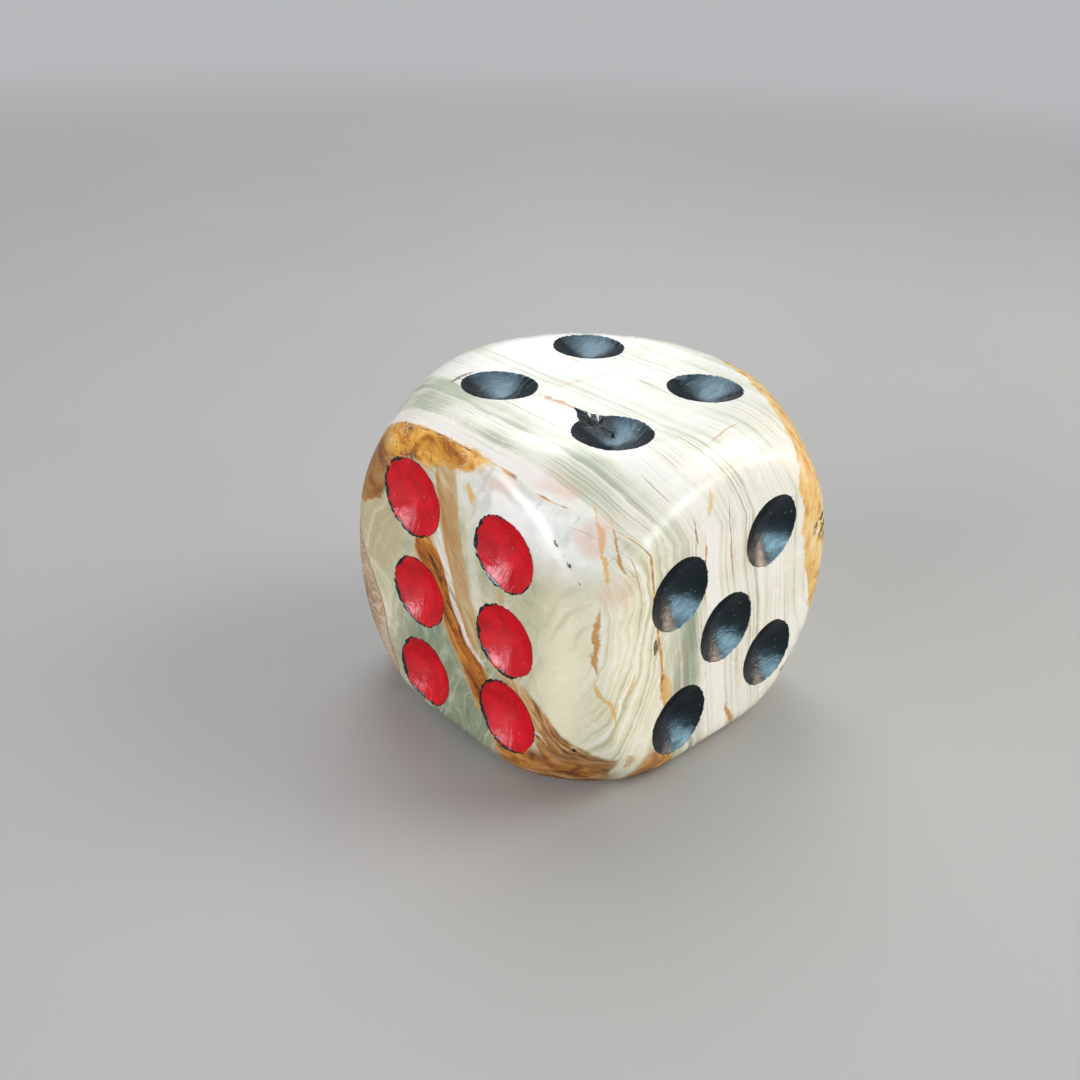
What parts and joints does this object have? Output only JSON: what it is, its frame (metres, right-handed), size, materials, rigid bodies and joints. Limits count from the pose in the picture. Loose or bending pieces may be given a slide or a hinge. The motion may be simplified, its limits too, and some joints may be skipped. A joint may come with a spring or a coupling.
{
  "type": "decorative stone die",
  "caption": "Large carved stone die with ball-rounded corners, dished pips and glossy enamel in the pips, for display or rolling.",
  "frame": {"origin": "centre of the block's bounding box", "axes": "+Z out of the four, +X out of the five, -Y out of the six; opposite faces add up to seven"},
  "size_m": [0.076, 0.0762, 0.072],
  "materials": {
    "onyx": "polished banded calcite onyx",
    "black_enamel": "glossy brushed enamel",
    "red_enamel": "glossy brushed enamel"
  },
  "bodies": {
    "root": {"stone_body": "onyx", "one_undercoat": "black_enamel", "two_enamel_1": "black_enamel", "two_enamel_2": "black_enamel", "three_enamel_1": "black_enamel", "three_enamel_2": "black_enamel", "three_enamel_3": "black_enamel", "four_enamel_1": "black_enamel", "four_enamel_2": "black_enamel", "four_enamel_3": "black_enamel", "four_enamel_4": "black_enamel", "five_enamel_1": "black_enamel", "five_enamel_2": "black_enamel", "five_enamel_3": "black_enamel", "five_enamel_4": "black_enamel", "five_enamel_5": "black_enamel", "six_undercoat_1": "black_enamel", "six_undercoat_2": "black_enamel", "six_undercoat_3": "black_enamel", "six_undercoat_4": "black_enamel", "six_undercoat_5": "black_enamel", "six_undercoat_6": "black_enamel", "one_enamel": "red_enamel", "six_enamel_1": "red_enamel", "six_enamel_2": "red_enamel", "six_enamel_3": "red_enamel", "six_enamel_4": "red_enamel", "six_enamel_5": "red_enamel", "six_enamel_6": "red_enamel"}
  },
  "joints": []
}
